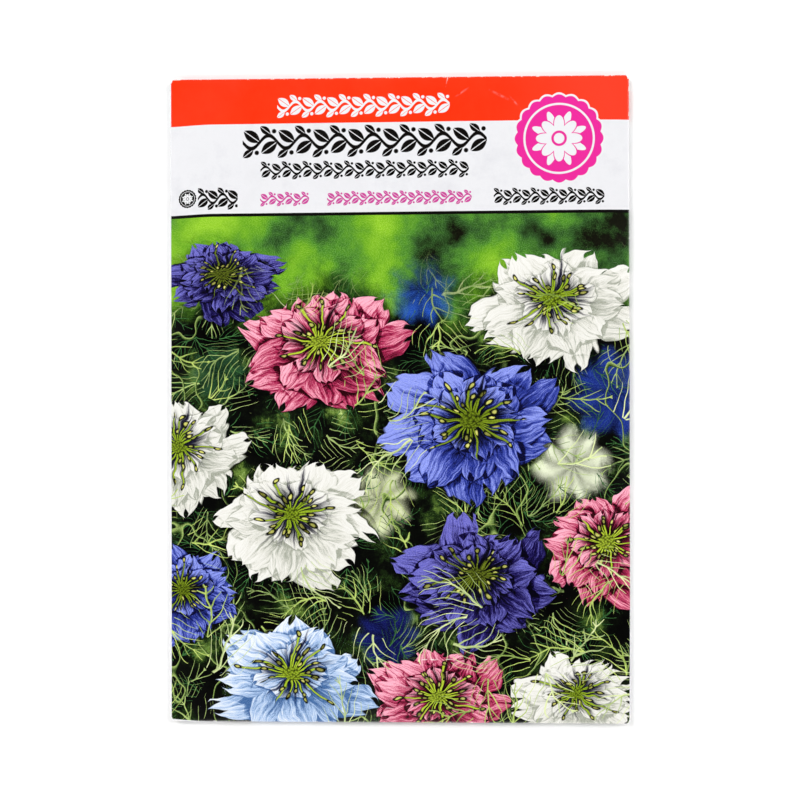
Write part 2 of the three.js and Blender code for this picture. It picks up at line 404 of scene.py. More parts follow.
def makeSheet(materials):
    seeds = seedPlaces()
    bm = flatBlank()
    blank = bm.loops.layers.uv.new("blank")
    for face in bm.faces:
        for loop in face.loops:
            loop[blank].uv = loop.vert.co.xy
    for vertex in bm.verts:
        vertex.co = foldedPlace(vertex.co.x, vertex.co.y, seeds)
    bmesh.ops.scale(bm, vec=(mm, mm, mm), verts=bm.verts)
    piece = newObject("paper_sheet", bm)
    mesh = piece.data
    for material in materials:
        mesh.materials.append(material)
    thicken = piece.modifiers.new("paper", "SOLIDIFY")
    thicken.thickness = sheet["paper"] * mm
    thicken.offset = -1
    thicken.material_offset = 1
    thicken.material_offset_rim = 2
    solid = bpy.data.meshes.new_from_object(piece.evaluated_get(bpy.context.evaluated_depsgraph_get()))
    piece.modifiers.clear()
    piece.data = solid
    bpy.data.meshes.remove(mesh)
    solid.name = "paper_sheet"
    solid.shade_smooth()
    solid.set_sharp_from_angle(angle=sharpEdge)
    layBakeMap(solid)
    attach(piece, "root")
    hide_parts("paper_sleeve")
    print("paper sheet folded:", len(solid.polygons), "faces")


# the print: a bed of double garden asters, drawn by the ink's own rules
picture = {
    "lightFrom": 2.2,  # direction of the light in the picture, in radians
    "kinds": [  # shadow, tone and light of the petals, the eye, the button
        ("#b2b5a8", "#e8e7df", "#f4f3ee", "#120f34", "#a2bb34"),
        ("#11123e", "#3e4eac", "#a0acf2", "#050418", "#8a9f2a"),
        ("#587dae", "#b6ceee", "#f0f5fc", "#0c1648", "#b4cc40"),
        ("#3c0614", "#c23a69", "#ffbfd0", "#1c040b", "#c0d448"),
        ("#07031c", "#2a2166", "#8280d0", "#030212", "#75832a"),
    ],
    # rings of petals: reach, breadth, turn, how far up the flower its middle lies
    "rings": [(1.0, 0.36, 0.0, 0.0), (0.80, 0.30, 0.5, 0.05), (0.50, 0.19, 0.25, 0.12)],
    # rings of stamens: how many, shortest, most added, thickness
    "stamens": [(13.0, 0.24, 0.34, 0.011), (19.0, 0.14, 0.2, 0.008)],
    # flowers: middle x, y, half width, half height in mm, kind, petals in a ring
    "middle": [
        (27.5, 16.0, 16.5, 13.5, 0, 9),
        (-13.5, 8.5, 17.0, 14.0, 3, 9),
        (7.0, -54.0, 15.5, 12.0, 3, 9),
        (37.0, -27.0, 15.0, 13.0, 3, 8),
        (-39.5, -9.5, 14.5, 13.0, 0, 9),
        (-31.5, 21.5, 12.5, 9.0, 4, 8),
        (-38.5, -35.0, 12.5, 10.5, 1, 8),
        (31.5, -53.5, 14.0, 11.0, 0, 9),
    ],
    "front": [
        (13.0, -5.5, 18.0, 15.5, 1, 9),
        (-19.0, -22.0, 17.0, 14.5, 0, 9),
        (14.0, -33.0, 16.5, 14.0, 4, 9),
        (-19.0, -50.0, 17.0, 13.0, 2, 9),
    ],
    # blooms too far behind to be sharp: middle x, y, radius, colour
    "distant": [
        (4.0, 19.5, 6.5, "#3867c4"),
        (38.5, 1.0, 8.0, "#2f479c"),
        (-3.5, -18.0, 6.0, "#dce2bc"),
        (31.0, -12.0, 6.5, "#e6ebd2"),
        (-32.0, 5.0, 5.0, "#33573a"),
        (-2.0, -42.0, 5.5, "#20286e"),
    ],
    "lawn": [(0.38, "#1c1d10"), (0.45, "#446c38"), (0.52, "#639c40"), (0.60, "#7fb636"), (0.72, "#a2d242")],
    "hedge": [(0.4, "#020201"), (0.52, "#0b1007"), (0.62, "#2c421c"), (0.72, "#7f9a4c"), (0.82, "#ccd89c")],
    "lawnTone": (0.5, 0.13, 0.34, -0.0014),  # share of soft light, mean, share of clumps, fall to the right
    "distantLobes": {
        "count": 8.0,
        "uneven": 9.0,
        "depth": 0.10,  # against the radius, as is the next
        "ragged": 0.5,
        "lit": (0.5, 1.15),  # in the middle and at the edge
        "lobeLit": 0.16,
    },
    "bedEdge": (22.0, 36.0, 22.0),  # how uneven, where lawn is bare above, where the bed is full below
    "stalks": {
        "apart": 7.5,
        "thick": 0.62,
        "lean": 0.2,
        "bend": 26.0,
        "leftOut": 0.35,
        "inks": ("#bcd283", "#3c5526"),
    },
    "shadow": (0.25, 0.9),
    "grain": (5.5, 0.96, 1.46),  # grains to a millimetre, gamma where bright and where dark
    # threads of leaf: how large, own draw, share left out, darkest and lightest colour
    "leavesBehind": [(6.0, 3.1, 0.1, "#0e1e10", "#5c9458"), (8.0, 11.7, 0.25, "#35592c", "#d4e89a")],
    "leavesBefore": [(9.0, 52.7, 0.45, "#3f7030", "#e0f090"), (10.5, 130.9, 0.72, "#648c3a", "#f0f8c0")],
}


def afterwards(add, place, result):
    # a hair's shift by what lies below, so that a shader works out one layer at a time in little memory
    return add("VectorMath", place, add("Math MULTIPLY", result, 0.001))


def sectorOf(add, angle, count, turn, own):
    # splits a circle into equal sectors: where a point lies across its own, and three draws for that sector
    perRadian = add("Math DIVIDE", count, math.tau)
    place = add("Math MULTIPLY_ADD", angle, perRadian, turn)
    whole = add("Math FLOOR", place)
    number = add("Math FLOORED_MODULO", whole, count)
    offset = add("Math SUBTRACT", add("Math SUBTRACT", place, whole), 0.5)
    drawPlace = add("Math MULTIPLY_ADD", number, 0.37, own)
    draws = add("TexWhiteNoise 1D", drawPlace, out=1)
    return offset, number, add("SeparateColor", draws, out=None)


petal = {
    "outline": [(0, 0.2), (0.25, 0.45), (0.56, 0.95), (0.8, 0.8), (1, 0.24)],
    "shortest": 0.72,  # against the ring's reach
    "lean": 0.16,
    "bend": 0.4,
    "notches": 1.5,
    "notchDepth": (0.16, 0.44),
    "shoulder": (2.4, 0.14),  # how suddenly and how far the tip's corners fall away
    "sideEdge": (0.92, 1.0),
    "tipEdge": (1.02, 1.04),
    "haloSide": 1.9,  # how far its shadow reaches
    "haloTip": 1.26,
    "tone": (0.56, 0.08, -0.24),  # mean, what the light adds on its side, and on the flank that faces it
    "veins": (6.2, 1.7, 0.66),  # how many across, how much they vary along, strength
    "rib": 0.20,
    "rim": 0.36,
    "base": 0.6,
    "tip": 0.24,
    "ownTone": 0.16,
}


def petalRing():
    given = {"place": "Vector"} | dict.fromkeys(("petals", "reach", "breadth", "turn", "own"), "Float")
    results = dict.fromkeys(("shade", "cover", "halo"), "Float")
    tree, (place, petals, reach, breadth, turn, own), result = startGroup(
        "ring of notched petals", given, results
    )
    add = partial(addNode, tree)
    x, y, _ = add("SeparateXYZ", place, out=None)
    radius = add("VectorMath LENGTH", place)
    angle = add("Math ARCTAN2", y, x)
    offset, number, (drawA, drawB, drawC) = sectorOf(add, angle, petals, turn, own)

    # each petal has a length, a lean and a bend of its own
    length = add("Math MULTIPLY", reach, add("MapRange", drawA, 0.0, 1.0, 1.0, petal["shortest"]))
    along = add("Math DIVIDE", radius, length)
    lean = add("MapRange", drawB, 0.0, 1.0, -petal["lean"], petal["lean"])
    bend = add("MapRange", drawC, 0.0, 1.0, -petal["bend"], petal["bend"])
    lean = add("Math MULTIPLY_ADD", bend, radius, lean)
    girth = add("Math MULTIPLY", radius, math.tau)
    arc = add("Math MULTIPLY", add("Math", offset, lean), girth)
    arc = add("Math DIVIDE", arc, petals)
    outline = add("FloatCurve", 1.0, along, curve=petal["outline"])
    across = add("Math DIVIDE", arc, add("Math MULTIPLY", outline, breadth))
    side = add("Math ABSOLUTE", across)

    # the tip is notched and its corners fall away
    notch = add("Math PINGPONG", add("Math MULTIPLY_ADD", across, petal["notches"], drawA), 0.5)
    tip = add("Math MULTIPLY_ADD", notch, add("MapRange", drawC, 0.0, 1.0, *petal["notchDepth"]), along)
    sudden, fall = petal["shoulder"]
    tip = add("Math MULTIPLY_ADD", add("Math POWER", side, sudden), fall, tip)
    within = add("MapRange", side, *petal["sideEdge"], 1.0, 0.0)
    short = add("MapRange", tip, *petal["tipEdge"], 1.0, 0.0)
    cover = add("Math MULTIPLY", within, short)
    haloSide = add("MapRange SMOOTHSTEP", side, 1.0, petal["haloSide"], 1.0, 0.0)
    haloTip = add("MapRange SMOOTHSTEP", tip, 1.0, petal["haloTip"], 1.0, 0.0)
    halo = add("Math MULTIPLY", haloSide, haloTip)

    # light from the upper left, a pale flank, veins, a darker rib, rim and base
    mean, towards, facing = petal["tone"]
    toLight = add("Math SUBTRACT", angle, picture["lightFrom"])
    shade = add("Math MULTIPLY_ADD", add("Math COSINE", toLight), towards, mean)
    flank = add("Math MULTIPLY", add("Math SINE", toLight), facing)
    shade = add("Math MULTIPLY_ADD", across, flank, shade)
    count, vary, strength = petal["veins"]
    veinAcross = add("Math MULTIPLY_ADD", across, count, add("Math MULTIPLY_ADD", number, 3.7, own))
    veinPlace = add("CombineXYZ", veinAcross, add("Math MULTIPLY", along, vary), 0.0)
    veins = add("TexNoise 2D", veinPlace, 1.25, 6.0, 0.84)
    for part in (
        add("MapRange", veins, 0.30, 0.70, -strength, strength),
        add("MapRange SMOOTHSTEP", side, 0.0, 0.12, -petal["rib"], 0.0),
        add("MapRange SMOOTHSTEP", side, 0.76, 1.0, 0.0, -petal["rim"]),
        add("MapRange SMOOTHSTEP", along, 0.15, 0.95, -petal["base"], petal["tip"]),
        add("MapRange", drawB, 0.0, 1.0, -petal["ownTone"], petal["ownTone"]),
    ):
        shade = add("Math", shade, part)
    feed(tree, result, (shade, cover, halo))
    return tree


aster = {
    "loose": (2.4, 0.16),  # how closely the petals waver, and how far
    "ringShadow": 0.85,
    "slope": (-0.10, 0.13, 0),  # lighter towards the upper left
    "darkTone": (-0.05, 0.5),
    "lightTone": (0.5, 1.05),
    "heart": (0, 0.12, 0),  # its middle lies up the flower from the petals'
    "eye": (0.14, 0.42, 0.98),
    "rays": (7.0, 0.9),
    "lean": 0.4,
    "curl": 1.2,
    "pollen": ("#6c6c2a", "#e6e588"),
    "grains": 36.0,
    "button": (0.085, 0.10),
}


def asterFlower():
    tree, (place, kind, own, petals), result = startGroup(
        "double aster",
        {"place": "Vector", "kind": "Float", "own": "Float", "petals": "Float"},
        {"colour": "Color", "cover": "Float", "halo": "Float"},
    )
    add = partial(addNode, tree)
    ringGroup = petalRing()
    close, far = aster["loose"]
    wobblePlace = add("VectorMath", place, add("CombineXYZ", own, 0.0, 0.0))
    wobble = add("TexNoise 2D", wobblePlace, close, 2.0, 0.6, out=1)
    wobble = add("VectorMath SUBTRACT", wobble, (0.5, 0.5, 0.5))
    loose = add("VectorMath", add("VectorMath SCALE", wobble, far), place)

    # three rings of petals, each smaller, higher and set back, with its shadow on the one below
    shade = cover = outerHalo = None
    for reach, breadth, turn, back in picture["rings"]:
        middle = add("VectorMath SUBTRACT", loose, (0, back, 0))
        ringOwn = add("Math", own, reach * 9.1)
        ringTurn = add("Math", own, turn)
        ringOf = (middle, petals, reach, breadth, ringTurn, ringOwn)
        tone, covers, halo = add("Group", *ringOf, out=None, node_tree=ringGroup)
        if shade is None:
            shade, cover, outerHalo = tone, covers, halo
        else:
            shade = add("Math MULTIPLY_ADD", halo, -aster["ringShadow"], shade)
            shade = add("Mix FLOAT", covers, shade, tone)
            cover = add("Math MAXIMUM", cover, covers)
        loose = afterwards(add, loose, shade)
    slope = add("VectorMath DOT_PRODUCT", loose, aster["slope"])
    shade = add("Math", shade, slope)

    inks = []
    for colours in zip(*picture["kinds"]):
        stops = [(number / len(colours), ink) for number, ink in enumerate(colours)]
        inks.append(add("ValToRGB", kind, stops=stops, steps=True))
    ink = add("Mix RGBA", add("MapRange", shade, *aster["darkTone"]), inks[0], inks[1])
    ink = add("Mix RGBA", add("MapRange", shade, *aster["lightTone"]), ink, inks[2])

    # dark eye with rays, two rings of stamens and the button
    heart = add("VectorMath SUBTRACT", loose, aster["heart"])
    radius = add("VectorMath LENGTH", heart)
    count, length = aster["rays"]
    rays = add("TexNoise 2D", add("VectorMath NORMALIZE", heart), count, 3.0, 0.7)
    rays = add("Math MULTIPLY_ADD", add("Math SUBTRACT", rays, 0.5), length, radius)
    eye = add("MapRange SMOOTHSTEP", rays, *aster["eye"], 0.0)
    colour = add("Mix RGBA", eye, ink, inks[3])
    x, y, _ = add("SeparateXYZ", heart, out=None)
    angle = add("Math ARCTAN2", y, x)
    for count, start, spread, thick in picture["stamens"]:
        offset, _, draws = sectorOf(add, angle, count, own, own)
        lean = add("MapRange", draws[0], 0.0, 1.0, -aster["lean"], aster["lean"])
        curl = add("MapRange", draws[2], 0.0, 1.0, -aster["curl"], aster["curl"])
        curl = add("Math MULTIPLY_ADD", curl, radius, lean)
        arc = add("Math MULTIPLY", add("Math", offset, curl), math.tau / count)
        arc = add("Math MULTIPLY", arc, radius)
        length = add("Math MULTIPLY_ADD", draws[1], spread, start)
        toEnd = add("Math SUBTRACT", radius, length)
        gone = add("Math ABSOLUTE", arc)
        reached = add("Math LESS_THAN", toEnd, 0.0)
        for inner, outer, dark, ink in ((1.2, 2.6, 0.7, "#070c04"), (0.6, 1.2, 1.0, inks[4])):
            line = add("MapRange", gone, thick * inner, thick * outer, dark, 0.0)
            line = add("Math MULTIPLY", line, reached)
            colour = add("Mix RGBA", line, colour, ink)
        anther = add("CombineXYZ", arc, add("Math MULTIPLY", toEnd, 0.5), 0.0)
        anther = add("VectorMath LENGTH", anther)
        pollen = add("Mix RGBA", draws[2], *aster["pollen"])
        for inner, outer, ink in ((0.022, 0.030, "#12170a"), (0.009, 0.017, pollen)):
            dot = add("MapRange", anther, inner, outer, 1.0, 0.0)
            colour = add("Mix RGBA", dot, colour, ink)
    grains = add("TexVoronoi 2D", heart, aster["grains"])
    button = add("ValToRGB", grains, stops=[(0, "#ffffff"), (0.4, "#b9b9b9"), (0.85, "#161616")])
    button = add("Mix RGBA", 1.0, inks[4], button, blend_type="MULTIPLY")
    colour = add("Mix RGBA", add("MapRange", radius, *aster["button"], 1.0, 0.0), colour, button)
    feed(tree, result, (colour, cover, outerHalo))
    return tree


feather = {  # in leaf lengths
    "loose": (1.1, 0.34),  # how closely the leaves waver, and how far
    "bow": 0.5,
    "halfLength": 0.62,
    "stem": (0.015, 0.003),  # half thickness at the foot and at the end
    "thread": (0.014, 0.003),
    "soft": 0.010,
    "apart": 0.28,
    "sweep": (-2.2, -0.8),  # how steeply the threads leave the stem
    "threadBow": -1.1,
    "reach": [(0, 0.26), (0.3, 0.62), (0.7, 0.44), (1, 0.03)],
    "shortest": 0.35,
}


def featheryLeaf():
    tree, (place, size, own), result = startGroup(
        "feathery leaf",
        {"place": "Vector", "size": "Float", "own": "Float"},
        {"cover": "Float", "tone": "Float", "draw": "Float"},
    )
    add = partial(addNode, tree)
    close, far = feather["loose"]
    scaled = add("VectorMath DIVIDE", place, add("CombineXYZ", size, size, size))
    scaled = add("VectorMath", scaled, add("CombineXYZ", own, own, 0.0))
    wobble = add("TexNoise 2D", scaled, close, 2.0, 0.5, out=1)
    wobble = add("VectorMath SUBTRACT", wobble, (0.5, 0.5, 0.5))
    scaled = add("VectorMath", add("VectorMath SCALE", wobble, far), scaled)
    cell = add("TexVoronoi 2D", scaled, 1.0, out=None)
    drawA, drawB, drawC = add("SeparateColor", cell["Color"], out=None)
    local = add("VectorMath SUBTRACT", scaled, cell["Position"])
    turn = add("Math MULTIPLY", drawA, math.tau)
    turned = add("VectorRotate", local, None, (0, 0, 1), turn)
    x, y, _ = add("SeparateXYZ", turned, out=None)
    x = add("Math MULTIPLY_ADD", add("Math MULTIPLY", y, y), feather["bow"], x)
    side = add("Math ABSOLUTE", x)
    up = add("MapRange", y, -feather["halfLength"], feather["halfLength"])
    stem = add("Math SUBTRACT", side, add("MapRange", up, 0.0, 1.0, *feather["stem"]))
    stem = add("MapRange", stem, 0.0, feather["soft"], 1.0, 0.0)
    # side threads sweep up from the stem, each with a length and tone of its own
    run = add("Math MULTIPLY_ADD", side, add("MapRange", drawC, 0.0, 1.0, *feather["sweep"]), y)
    run = add("Math MULTIPLY_ADD", add("Math MULTIPLY", side, side), feather["threadBow"], run)
    step = add("Math PINGPONG", run, feather["apart"] / 2)
    number = add("Math ROUND", add("Math DIVIDE", run, feather["apart"]))
    number = add("Math MULTIPLY_ADD", add("Math SIGN", x), 0.31, number)
    number = add("Math MULTIPLY_ADD", drawA, 91.0, number)
    vary = add("TexWhiteNoise 1D", number)
    reach = add("FloatCurve", 1.0, up, curve=feather["reach"])
    reach = add("Math MULTIPLY", reach, add("MapRange", vary, 0.0, 1.0, feather["shortest"], 1.0))
    gone = add("Math DIVIDE", side, reach)
    thread = add("Math SUBTRACT", step, add("MapRange", gone, 0.0, 1.0, *feather["thread"]))
    thread = add("MapRange", thread, 0.0, feather["soft"], 1.0, 0.0)
    thread = add("Math MULTIPLY", thread, add("MapRange", gone, 0.94, 1.0, 1.0, 0.0))
    cover = add("Math MAXIMUM", stem, thread)
    for bound, end in (("LESS_THAN", 0.995), ("GREATER_THAN", 0.005)):
        cover = add("Math MULTIPLY", cover, add("Math " + bound, up, end))
    tone = add("Math MULTIPLY", drawB, 0.5)
    tone = add("Math MULTIPLY_ADD", vary, 0.5, tone)
    feed(tree, result, (cover, tone, drawB))
    return tree


def nearestFlower(add, place, flowers, firstOwn):
    nearest = local = traits = None
    for number, (x, y, halfWidth, halfHeight, kind, petals) in enumerate(flowers):
        here = add("Mapping TEXTURE", place, (x, y, 0), None, (halfWidth, halfHeight, 1))
        far = add("VectorMath LENGTH", here)
        hereTraits = ((kind + 0.5) / len(picture["kinds"]), firstOwn + number * 1.37, petals)
        if nearest is None:
            nearest, local, traits = far, here, add("CombineXYZ", *hereTraits)
            continue
        closer = add("Math LESS_THAN", far, nearest)
        nearest = add("Math MINIMUM", far, nearest)
        local = add("Mix VECTOR", closer, local, here)
        traits = add("Mix VECTOR", closer, traits, hereTraits)
    return local, add("SeparateXYZ", traits, out=None)


def layLeaves(add, place, colour, leaf, leaves, within):
    for size, own, least, dark, light in leaves:
        cover, tone, draw = add("Group", place, size, own, out=None, node_tree=leaf)
        grows = add("Math GREATER_THAN", draw, least)
        for share in (grows, within):
            cover = add("Math MULTIPLY", cover, share)
        green = add("Mix RGBA", tone, dark, light)
        colour = add("Mix RGBA", cover, colour, green)
        place = afterwards(add, place, cover)
    return place, colour


def layFlowers(add, place, colour, flower, flowers, own, within):
    local, traits = nearestFlower(add, place, flowers, own)
    bloom, cover, halo = add("Group", local, *traits, out=None, node_tree=flower)
    # a flower's shadow is faint on the lawn and deep in the bed
    shadow = add("Math MULTIPLY", halo, add("MapRange", within, 0.0, 1.0, *picture["shadow"]))
    colour = add("Mix RGBA", shadow, colour, "#010201")
    colour = add("Mix RGBA", cover, colour, bloom)
    return afterwards(add, place, cover), colour


def layStalks(add, place, colour, bend, within):
    stalk = picture["stalks"]
    x, y, _ = add("SeparateXYZ", place, out=None)
    leaning = add("Math MULTIPLY_ADD", y, stalk["lean"], x)
    leaning = add("Math MULTIPLY_ADD", bend, stalk["bend"], leaning)
    column = add("Math DIVIDE", leaning, stalk["apart"])
    whole = add("Math FLOOR", column)
    draws = add("SeparateColor", add("TexWhiteNoise 1D", whole, out=1), out=None)
    offset = add("Math SUBTRACT", add("Math SUBTRACT", column, whole), draws[0])
    offset = add("Math MULTIPLY", offset, stalk["apart"] / stalk["thick"])
    cover = add("MapRange", add("Math ABSOLUTE", offset), 0.4, 0.6, 1.0, 0.0)
    cover = add("Math MULTIPLY", cover, add("Math GREATER_THAN", draws[1], stalk["leftOut"]))
    cover = add("Math MULTIPLY", cover, within)
    green = add("Mix RGBA", add("MapRange", offset, -0.5, 0.3), *stalk["inks"])
    return afterwards(add, place, cover), add("Mix RGBA", cover, colour, green)


def gardenPicture(add, place):
    flower, leaf = asterFlower(), featheryLeaf()
    x, v, _ = add("SeparateXYZ", place, out=None)

    # a lawn and a hedge, out of focus
    soft = add("TexNoise 2D", place, 0.085, 2.0, 0.45)
    clumps = add("TexNoise 2D", place, 0.13, 5.0, 0.62)
    softShare, lawnTone, clumpShare, toRight = picture["lawnTone"]
    for part, share in ((soft, softShare), (clumps, clumpShare), (x, toRight)):
        lawnTone = add("Math MULTIPLY_ADD", part, share, lawnTone)
    lawn = add("ValToRGB", lawnTone, stops=picture["lawn"])
    colour = add("ValToRGB", clumps, stops=picture["hedge"])
    lobed = picture["distantLobes"]
    for at, y, radius, ink in picture["distant"]:
        here = add("VectorMath SUBTRACT", place, (at, y, 0))
        far = add("VectorMath LENGTH", here)
        acrossHere, upHere, _ = add("SeparateXYZ", here, out=None)
        turn = add("Math MULTIPLY", add("Math ARCTAN2", upHere, acrossHere), lobed["count"])
        lobes = add("Math COSINE", add("Math MULTIPLY_ADD", clumps, lobed["uneven"], turn))
        edge = add("Math MULTIPLY_ADD", lobes, -lobed["depth"] * radius, far)
        edge = add("Math MULTIPLY_ADD", clumps, -lobed["ragged"] * radius, edge)
        blur = add("MapRange SMOOTHSTEP", edge, 0.35 * radius, 0.85 * radius, 0.92, 0.0)
        lit = add("MapRange", far, 0.0, radius, *lobed["lit"])
        lit = add("Math MULTIPLY_ADD", lobes, lobed["lobeLit"], lit)
        petals = add("HueSaturation", 0.5, 1.0, lit, 1.0, ink)
        colour = add("Mix RGBA", blur, colour, petals)
        place = afterwards(add, place, blur)
    uneven, above, below = picture["bedEdge"]
    height = add("Math MULTIPLY_ADD", clumps, uneven, v)
    inBed = add("MapRange SMOOTHSTEP", height, above, below, 0.0, 1.0)
    colour = add("Mix RGBA", inBed, lawn, colour)
    place, colour = layLeaves(add, place, colour, leaf, picture["leavesBehind"], inBed)
    place, colour = layStalks(add, place, colour, soft, inBed)
    place, colour = layFlowers(add, place, colour, flower, picture["middle"], 31.0, inBed)
    place, colour = layLeaves(add, place, colour, leaf, picture["leavesBefore"][:1], inBed)
    place, colour = layFlowers(add, place, colour, flower, picture["front"], 77.0, inBed)
    place, colour = layLeaves(add, place, colour, leaf, picture["leavesBefore"][1:], inBed)
    # the film's grain is finer than a render shows, so it is drawn as coarse as it needs to show
    scale, bright, dark = picture["grain"]
    grain = add("TexNoise 2D", place, scale, 1.0, 0.6)
    return add("Gamma", colour, add("MapRange", grain, 0.3, 0.7, dark, bright))


# the heading: bands, leafy vines and a scalloped medallion in the printer's inks
heading = {
    "red": [(0.3, "#f2300a"), (0.7, "#fa3814")],
    "sheenRed": "#f83e26",  # painted sheen: a lighter red towards the right, standing in for the gloss's soft reflection
    "paper": [(0.3, "#dfdfe3"), (0.5, "#e8e8eb"), (0.7, "#e4e4e7")],
    "white": "#e9e9ec",
    "black": "#0d0a08",
    "pink": "#e62c98",
    "lilac": "#c94497",
    "green": "#2f6f2c",
    # vines: middle x, y, height, half length, half waves, ink
    "vines": [
        (-6.2, 52.45, 4.2, 15.4, 14, "white"),
        (-6.0, 46.1, 5.8, 21.8, 14, "black"),
        (-6.0, 41.0, 3.3, 18.6, 20, "black"),
        (-20.3, 35.9, 2.6, 4.4, 6, "lilac"),
        (0.2, 35.9, 2.6, 12.9, 18, "lilac"),
        (26.8, 35.9, 3.1, 9.8, 12, "black"),
        (-32.3, 36.1, 4.0, 3.6, 4, "black"),
    ],
    "daisy": (-37.8, 36.3, 1.7),
    "medallion": (28.6, 46.1, 8.1),
    # a vine's half wave, against its height: swing, stem, leaves (middle, turn, length, breadth), berry
    "vineSwing": 0.20,
    "vineStem": (0.055, 0.075),
    "vineLeaves": [((0.02, -0.17, 0), 0.62, 0.32, 0.18), ((-0.10, 0.36, 0), 2.5, 0.21, 0.12)],
    "vineBerry": (0.17, 0.33, 0),
    # a seal's wavy edges: how many half waves, their curve, sharpness, depth against its radius
    "sealEdges": {
        "scallop": (10.0, "COSINE", 1.0, 0.055),
        "petal": (4.0, "COSINE", 1.0, 0.22),
        "leaf": (4.0, "SINE", 3.0, 0.3),
    },
    # and its layers from the outside in, first the sheet's white and then ink by turns
    "sealLayers": [
        ("scallop", 0.960),
        ("scallop", 0.915),
        ("ring", 0.780),
        ("ring", 0.735),
        ("leaf", 0.330),
        ("petal", 0.330),
        ("petal", 0.285),
        ("ring", 0.170),
        ("ring", 0.115),
    ],
    # how the sheet was printed and folded, and where the painted sheen on the red lies: where a band starts
    # and ends its soft edge, in mm
    "droop": (-33.0, -41.0, 0.0, 0.26),
    "askew": -0.004,
    "sheenFrom": (12.0, 38.0),
    "redAbove": (49.33, 49.39),
    "lineBelow": (33.37, 33.43),
    "lineInk": "#0b0907",
    "pictureBelow": (32.82, 32.88),
    "margins": {
        "left": (-40.86, -40.8),
        "right": (41.5, 41.56),
        "rightLean": (10.0, -57.0, 0.0, 0.75),
        "top": (59.0, 59.1),
        "bottom": (-58.6, -58.5),
        "bottomLean": (-41.0, -22.0, -1.5, 0.0),
    },
    # the back
    "backVines": [(-82.1, 31.5, 4.6, 26.0, 22, "green"), (-82.1, -34.5, 4.6, 26.0, 22, "green")],
    "backMedallion": (-82.1, 18.0, 8.1),
}


def leafyVine():
    tree, (place, height, halfLength, halfWave), (result,) = startGroup(
        "leafy vine",
        {"place": "Vector", "height": "Float", "halfLength": "Float", "halfWave": "Float"},
        {"ink": "Float"},
    )
    add = partial(addNode, tree)
    x, y, _ = add("SeparateXYZ", place, out=None)
    phase = add("Math DIVIDE", x, halfWave)
    y = add("Math DIVIDE", y, height)
    wide = add("Math DIVIDE", halfWave, height)
    swing = add("Math SINE", add("Math MULTIPLY", phase, math.pi))
    stem = add("Math MULTIPLY_ADD", swing, -heading["vineSwing"], y)
    ink = add("MapRange", add("Math ABSOLUTE", stem), *heading["vineStem"], 1.0, 0.0)

    # in each half wave a leaf fills the bend, a smaller one stands outside it with a berry
    whole = add("Math FLOOR", phase)
    flip = add("Math FLOORED_MODULO", whole, 2.0)
    flip = add("Math MULTIPLY_ADD", flip, -2.0, 1.0)
    near = add("Math SUBTRACT", add("Math SUBTRACT", phase, whole), 0.5)
    near = add("Math MULTIPLY", near, wide)
    local = add("CombineXYZ", near, add("Math MULTIPLY", y, flip), 0.0)
    for middle, turn, length, breadth in heading["vineLeaves"]:
        leaf = add("Mapping TEXTURE", local, middle, (0, 0, turn), (length, breadth, 1))
        lx, ly, _ = add("SeparateXYZ", leaf, out=None)
        edge = add("Math MULTIPLY_ADD", add("Math MULTIPLY", lx, lx), -1.0, 1.0)
        inside = add("Math SUBTRACT", edge, add("Math ABSOLUTE", ly))
        inside = add("MapRange", inside, 0.0, 0.1)
        vein = add("MapRange", add("Math ABSOLUTE", ly), 0.04, 0.09)
        ink = add("Math MAXIMUM", ink, add("Math MULTIPLY", inside, vein))
    berry = add("VectorMath DISTANCE", local, heading["vineBerry"])
    ink = add("Math MAXIMUM", ink, add("MapRange", berry, 0.06, 0.08, 1.0, 0.0))
    ends = add("Math LESS_THAN", add("Math ABSOLUTE", x), halfLength)
    feed(tree, [result], [add("Math MULTIPLY", ink, ends)])
    return tree


def flowerMedallion(add, blank, colour, which, bodyInk):
    # a scalloped seal with two rings and an open eight-petalled flower
    x, y, size = heading[which]
    place = add("Mapping TEXTURE", blank, (x, y, 0), None, (size, size, 1))
    radius = add("VectorMath LENGTH", place)
    x, y, _ = add("SeparateXYZ", place, out=None)
    angle = add("Math ARCTAN2", y, x)
    edges = {"ring": radius}
    for name, (count, swing, sharpness, depth) in heading["sealEdges"].items():
        lobe = add("Math " + swing, add("Math MULTIPLY", angle, count))
        lobe = add("Math POWER", add("Math ABSOLUTE", lobe), sharpness)
        edges[name] = add("Math MULTIPLY_ADD", lobe, -depth, radius)
    for number, (name, edge) in enumerate(heading["sealLayers"]):
        inside = add("MapRange", edges[name], edge - 0.006, edge + 0.006, 1.0, 0.0)
        colour = add("Mix RGBA", inside, colour, heading[bodyInk if number % 2 else "white"])
    return colour


def addVines(add, place, colour, vine, rows):
    for x, y, height, halfLength, halfWaves, ink in rows:
        here = add("VectorMath SUBTRACT", place, (x, y, 0))
        inked = add("Group", here, height, halfLength, 2 * halfLength / halfWaves, node_tree=vine)
        colour = add("Mix RGBA", inked, colour, heading[ink])
    return colour


